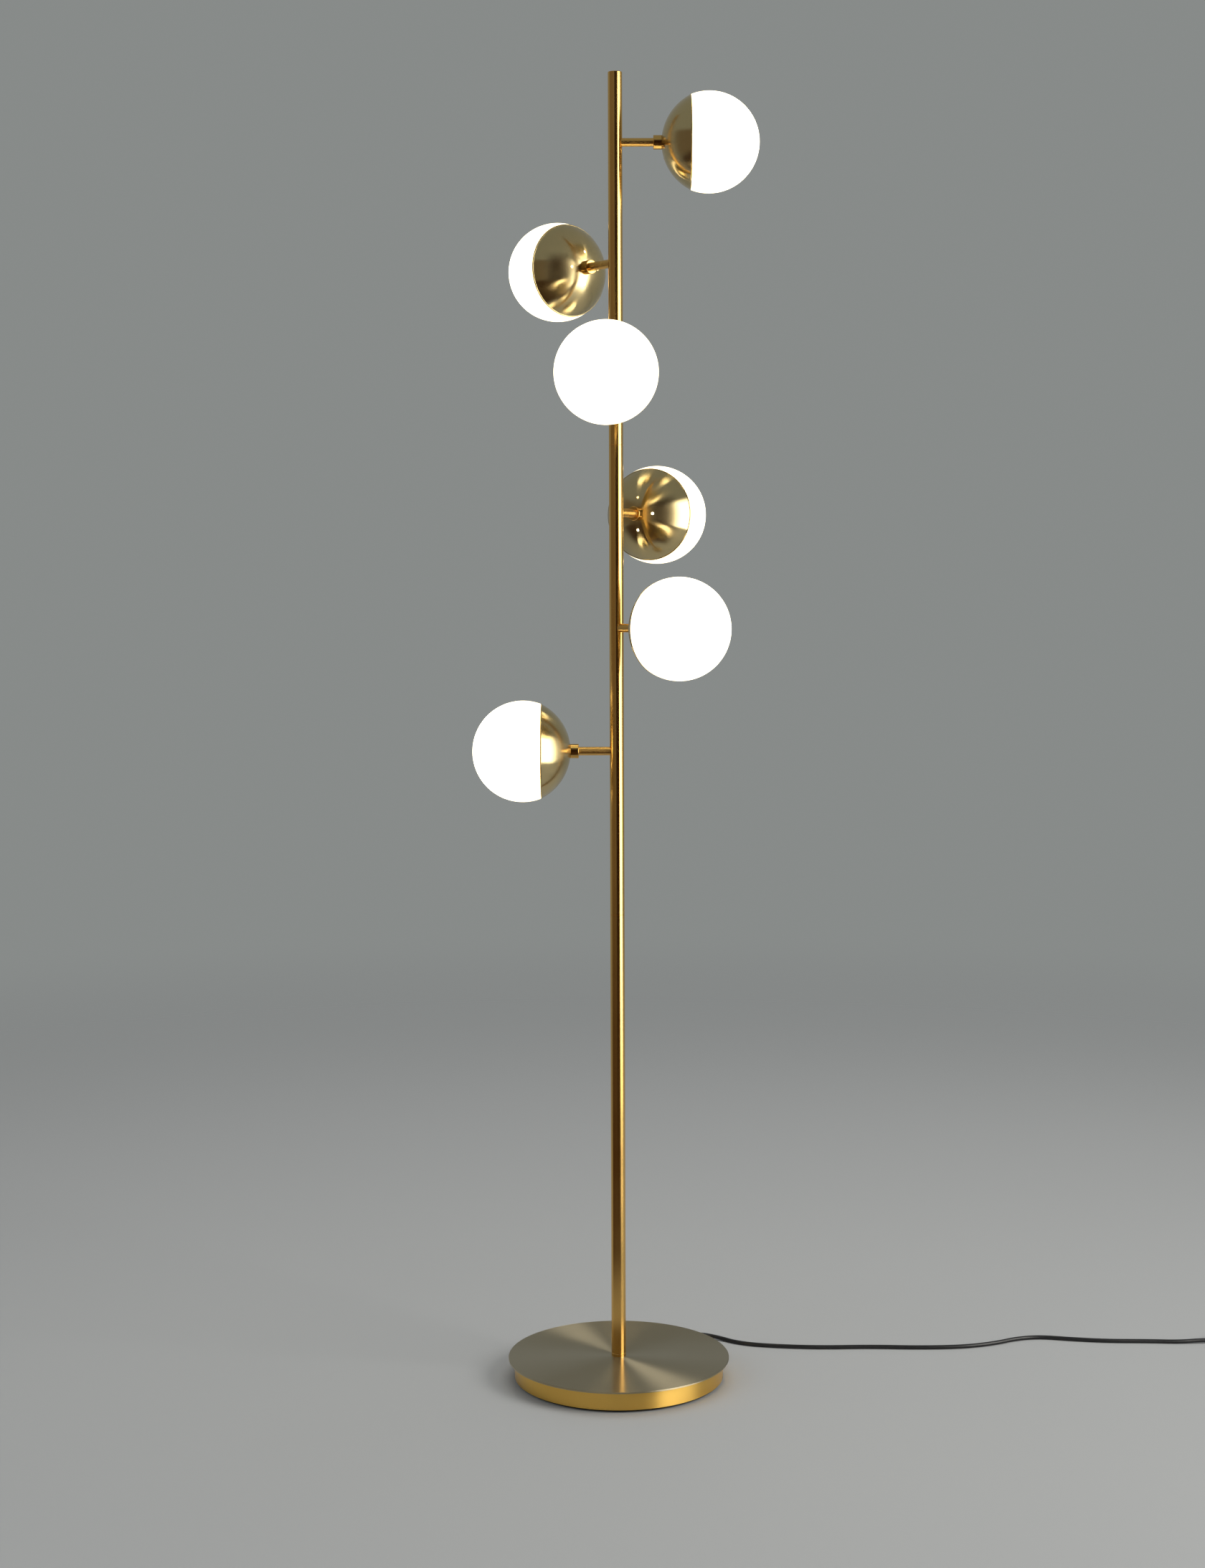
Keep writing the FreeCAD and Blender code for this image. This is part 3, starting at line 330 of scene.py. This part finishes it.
def dress_fittings():
    """Materials of the hidden pieces, the foot switch and the plug."""
    steel = plain_metal("zinc_steel", rgb(0.62, 0.63, 0.64), 0.32)
    wear(steel, "base_cover", "cover_screws", "stem_stud", "stem_nut", "stem_washer", "dome_nuts")
    wear(steel, "pole_couplers")
    spring = plain_metal("spring_steel", rgb(0.50, 0.50, 0.51), 0.25)
    wear(spring, "globe_springs", "switch_spring")
    iron = moulded("cast_iron", rgb(0.03, 0.03, 0.033), 0.6, grain=300.0, relief=2e-4, metallic=0.4)
    wear(iron, "base_weight")
    foam = moulded("black_foam", rgb(0.018, 0.018, 0.018), 0.9, grain=1200.0, relief=2e-4)
    wear(foam, "foot_pad")
    wear(moulded("black_rubber", rgb(0.016, 0.016, 0.016), 0.55), "strain_relief")
    shell = moulded("black_plastic", rgb(0.014, 0.014, 0.015), 0.42)
    wear(shell, "switch_base", "switch_cover", "plug_body")
    wear(moulded("black_button", rgb(0.020, 0.020, 0.021), 0.28), "switch_button")
    wear(moulded("terminal_plastic", rgb(0.60, 0.58, 0.52), 0.45), "terminal_block")
    wear(moulded("wire_insulation", rgb(0.62, 0.60, 0.55), 0.4), "wiring_loom")
    wear(plain_metal("plated_pins", rgb(0.72, 0.70, 0.66), 0.2), "plug_pins")
    wear(moulded("cord_sheath_inside", rgb(0.012, 0.012, 0.013), 0.38), "cord_inside")


# ---------------------------------------------------------------- cords

CORD_RADIUS = 0.00275
# The cord's routes over the floor are in millimetres, as the solids have them.
LYING = 2.75  # height of the cord's middle where it lies on the floor
CORD_START = (96.361, 137.618, 9.75)
CORD_ROUTE = [
    (104.4, 149.1, 9.75),
    (117.4, 158.6, 8.0),
    (134.0, 161.2, 5.0),
    (150.5, 154.6, 3.2),
    (166.5, 140.8, LYING),
    (191.0, 128.4, LYING),
    (232.0, 119.8, LYING),
    (292.0, 114.0, LYING),
    (362.0, 117.0, LYING),
    (433.0, 112.0, LYING),
    (498.0, 115.5, LYING),
    (544.0, 131.0, LYING),
    (577.0, 151.0, LYING),
    (613.0, 158.5, LYING),
    (655.0, 148.0, LYING),
    (705.0, 139.0, LYING),
    (764.0, 138.0, LYING),
    (808.0, 134.5, LYING),
    (836.0, 137.0, 3.7),
    (852.0, 137.0, 4.0),
]
CORD_END = (860.0, 137.0, 4.0)

# The coil, between the switch's second nozzle and the plug's tail.
COIL_START = (946.0, 137.0, 4.0)
COIL_LEAD_IN = [(952.0, 137.0, 4.0), (968.0, 137.0, 3.6), (986.0, 137.0, 2.8)]
COIL_X = 1002.0
COIL_TURNS = 4.5
COIL_PITCH = 6.1
COIL_INSIDE = 24.0
COIL_POINTS = 24  # to a turn
COIL_TAIL = [
    (995.6, 64.4, 8.85),
    (983.9, 59.6, 8.6),
    (974.9, 50.7, 8.0),
    (970.0, 39.0, 7.2),
    (970.0, 33.0, 6.9),
    (970.0, 27.0, 6.9),
]


def coil_point(turns):
    """A point of the coil after so many turns from the far side, clockwise seen from above.

    It winds inward on the floor, climbs in half a turn, and winds outward on the first layer.
    """
    layer_turns = (COIL_TURNS - 0.5) / 2
    low, high = LYING, LYING + COIL_PITCH
    if turns <= layer_turns:
        radius, height = COIL_INSIDE + COIL_PITCH * (layer_turns - turns), low
    elif turns >= layer_turns + 0.5:
        radius, height = COIL_INSIDE + COIL_PITCH * (turns - layer_turns - 0.5), high
    else:
        from_middle = (turns - COIL_TURNS / 2) / 0.25
        radius = COIL_INSIDE + COIL_PITCH * (from_middle**2 - 1) / 8
        climb = (turns - layer_turns) / 0.5
        height = low + (high - low) * (3 * climb**2 - 2 * climb**3)
    angle = math.pi / 2 - 2 * math.pi * turns
    outer = COIL_INSIDE + COIL_PITCH * layer_turns
    radius /= math.cos(math.pi / COIL_POINTS)  # the spline runs that much inside its points
    x = COIL_X + radius * math.cos(angle)
    y = COIL_START[1] - outer + radius * math.sin(angle)
    return (x, y, height)


def coil_route():
    """The coil's control points, with its straight ends."""
    steps = int(COIL_TURNS * COIL_POINTS)
    turns = [coil_point(k / COIL_POINTS) for k in range(steps + 1)]
    return [COIL_START, *COIL_LEAD_IN, *turns, *COIL_TAIL]


def cord_curve(name, route, made):
    """A cord on one smooth spline through millimetre control points."""
    curve = bpy.data.curves.new(name, "CURVE")
    curve.dimensions = "3D"
    curve.bevel_depth = CORD_RADIUS
    curve.bevel_resolution = 6
    curve.use_fill_caps = True
    curve.resolution_u = 8
    spline = curve.splines.new("NURBS")
    spline.points.add(len(route) - 1)
    for point, place in zip(spline.points, route):
        point.co = (*(Vector(place) / 1000), 1.0)
    spline.order_u = 3
    spline.use_endpoint_u = True
    spline.use_smooth = True
    curve.materials.append(made)
    piece = bpy.data.objects.new(name, curve)
    scene.collection.objects.link(piece)
    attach(piece, "stand")
    return piece


def make_cords():
    """The free cord to the foot switch, and the coil between the switch and the plug."""
    sheath = moulded("cord_sheath", rgb(0.012, 0.012, 0.013), 0.38, grain=500.0, relief=1e-5)
    lead = cord_curve("lead", [CORD_START, *CORD_ROUTE, CORD_END], sheath)
    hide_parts("cord_lead")
    coil = cord_curve("spare_coil", coil_route(), sheath)
    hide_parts("cord_coil")


# ---------------------------------------------------------------- stage and light

BACKDROP = rgb(0.245, 0.258, 0.252)
ROUND_LIGHT = rgb(0.95, 0.98, 1.0)
ROUND_LIGHT_STRENGTH = 0.35


def make_world():
    """A plain grey backdrop, which metal and glass show too, and soft light from all round."""
    world = bpy.data.worlds.new("studio")
    scene.world = world
    world.use_nodes = True
    n = Nodes(world.node_tree)
    rays = n.add("ShaderNodeLightPath").outputs
    mirrored = n.math("MAXIMUM", rays["Is Glossy Ray"], rays["Is Transmission Ray"])
    seen = n.math("MAXIMUM", rays["Is Camera Ray"], mirrored)
    soft = {"Color": ROUND_LIGHT, "Strength": ROUND_LIGHT_STRENGTH}
    light = n.add("ShaderNodeBackground", soft)
    plain = n.add("ShaderNodeBackground", {"Color": BACKDROP, "Strength": 1.0})
    shown = n.mix_shader(seen, light, plain)
    n.add("ShaderNodeOutputWorld", {"Surface": shown.outputs[0]})


# The cards stand round the lamp as a photographer's do. Only mirrored rays meet them, so what
# the metal shows of them is painted reflection. Azimuths are in degrees from the camera's side,
# positive to the right.
CARD_STEPS = 8  # flat faces to a curved card
CARD_SIDE = 14  # degrees of soft edge at each side of a curved card


def across_card(n, middle, half, soft):
    """1 within a card's azimuths and 0 past its soft sides."""
    spot = n.add("ShaderNodeSeparateXYZ", {0: n.place()}).outputs
    azimuth = n.math("ARCTAN2", spot["X"], n.math("MULTIPLY", spot["Y"], -1.0))
    off = n.math("ABSOLUTE", n.math("SUBTRACT", azimuth, math.radians(middle)))
    return n.span(off, math.radians(half - soft), math.radians(half), 1.0, 0.0)


def hang_card(data, made, n, shown, colour, strength=1.0):
    """Puts a card on the stage. It glows where shown is 1, is clear where it is 0, and is no lamp.

    data is its mesh, and made and n its material and that material's tree.
    """
    glow = n.add("ShaderNodeEmission", {"Color": colour, "Strength": strength})
    clear = n.add("ShaderNodeBsdfTransparent")
    n.surface(n.mix_shader(shown, clear, glow))
    made.cycles.emission_sampling = "NONE"
    data.materials.append(made)
    piece = bpy.data.objects.new(data.name, data)
    piece.visible_camera = False
    piece.visible_diffuse = False
    piece.visible_transmission = False
    piece.visible_shadow = False
    scene.collection.objects.link(piece)


def tall_card(name, middle, half, distance, high, colour, strength=1.0, fade=0.6):
    """A tall curved card, soft at its sides and over the height fade at its top.

    middle is the azimuth of its middle, and half the azimuth from there to its sides.
    """
    spots = []
    for k in range(CARD_STEPS + 1):
        angle = math.radians(middle - half + 2 * half * k / CARD_STEPS)
        spots.append((distance * math.sin(angle), -distance * math.cos(angle)))
    corners = [(x, y, z) for x, y in spots for z in (0, high)]
    faces = [(k, k + 1, k + 3, k + 2) for k in range(0, 2 * CARD_STEPS, 2)]
    data = bpy.data.meshes.new(name)
    data.from_pydata(corners, [], faces)
    made, n = material(name)
    across = across_card(n, middle, half, CARD_SIDE)
    up = n.add("ShaderNodeSeparateXYZ", {0: n.place()}).outputs["Z"]
    below_top = n.span(up, high - fade, high, 1.0, 0.0)
    hang_card(data, made, n, n.math("MULTIPLY", across, below_top), colour, strength)


def level_square(name, half, height):
    """A level square mesh round the pole's axis."""
    sides = ((-half, -half), (half, -half), (half, half), (-half, half))
    data = bpy.data.meshes.new(name)
    data.from_pydata([(x, y, height) for x, y in sides], [], [(0, 1, 2, 3)])
    return data


def painted_floor_reflection(name, middle, half, soft, colour):
    """A dark sheet on the floor before the lamp, as the room's floor is in the photograph. Only
    mirrored rays meet it, so it is a painted reflection of a darker floor, clear near the base.
    """
    data = level_square(name, 3.6, 0.001)
    made, n = material(name)
    across = across_card(n, middle, half, soft)
    away = n.span(n.length(n.place()), 0.30, 0.60)
    hang_card(data, made, n, n.math("MULTIPLY", across, away), colour)


def make_cards():
    """Painted reflections for the metal: a dark side behind the camera, a warm grey one at the
    left, a bright card at the right that stands for the key light's soft box but lights nothing,
    and a dark floor before the lamp."""
    # dark card: painted shade in the metal's reflections
    tall_card("card_camera", middle=12, half=32, distance=3.7, high=5.0,
              colour=rgb(0.025, 0.012, 0.007), fade=2.4)
    tall_card("card_left", middle=-56, half=46, distance=3.9, high=3.4,
              colour=rgb(0.15, 0.122, 0.09))
    # glowing card that lights nothing: painted highlight of the key light in the metal
    tall_card("card_key", middle=64, half=29, distance=2.4, high=2.7,
              colour=rgb(1.0, 0.97, 0.90), strength=5.4)
    # painted reflection: a dark floor that only the metal shows
    painted_floor_reflection("card_painted_floor_reflection", middle=-27, half=82, soft=26, colour=rgb(0.05, 0.028, 0.015))


def make_floor():
    """A plain pale floor that fades into the backdrop."""
    floor = bpy.data.objects.new("floor", level_square("floor", 7.0, 0))
    floor.location.z = -0.0002  # just clear of the lamp's foot
    scene.collection.objects.link(floor)
    made, n = material("floor")
    faded = n.span(n.length(n.place()), 1.6, 4.2)
    matt = {"Base Color": rgb(0.40, 0.405, 0.40), "Roughness": 1.0, "Specular IOR Level": 0.0}
    surface = n.add("ShaderNodeBsdfPrincipled", matt)
    away = n.add("ShaderNodeBsdfTransparent")
    n.surface(n.mix_shader(faded, surface, away))
    floor.data.materials.append(made)


def area_light(name, place, target, size, power, colour):
    """A soft square light, which polished metal doesn't show."""
    data = bpy.data.lights.new(name, "AREA")
    data.shape = "SQUARE"
    data.size = size
    data.energy = power
    data.color = colour
    light = bpy.data.objects.new(name, data)
    light.location = place
    aim = Vector(target) - Vector(place)
    light.rotation_euler = aim.to_track_quat("-Z", "Y").to_euler()
    light.visible_glossy = False
    light.visible_camera = False
    scene.collection.objects.link(light)


def make_lights():
    """A soft key light at the right, a weaker one at the left, and a soft top light."""
    mid_lamp = (0, 0, 0.9)
    area_light("key", (2.9, -1.5, 2.4), mid_lamp, 1.8, 84.0, colour=(1.0, 0.98, 0.95))
    area_light("fill", (-3.0, -2.0, 2.2), mid_lamp, 2.0, 24.0, colour=(0.95, 0.98, 1.0))
    area_light("top", (0.2, 0.6, 3.6), ORIGIN, 2.6, 34.0, colour=(1.0, 1.0, 1.0))


make_camera()
make_cords()
dress_pole_and_base()
dress_heads()
dress_fittings()
make_world()
make_cards()
make_floor()
make_lights()

scene.view_settings.view_transform = "Standard"
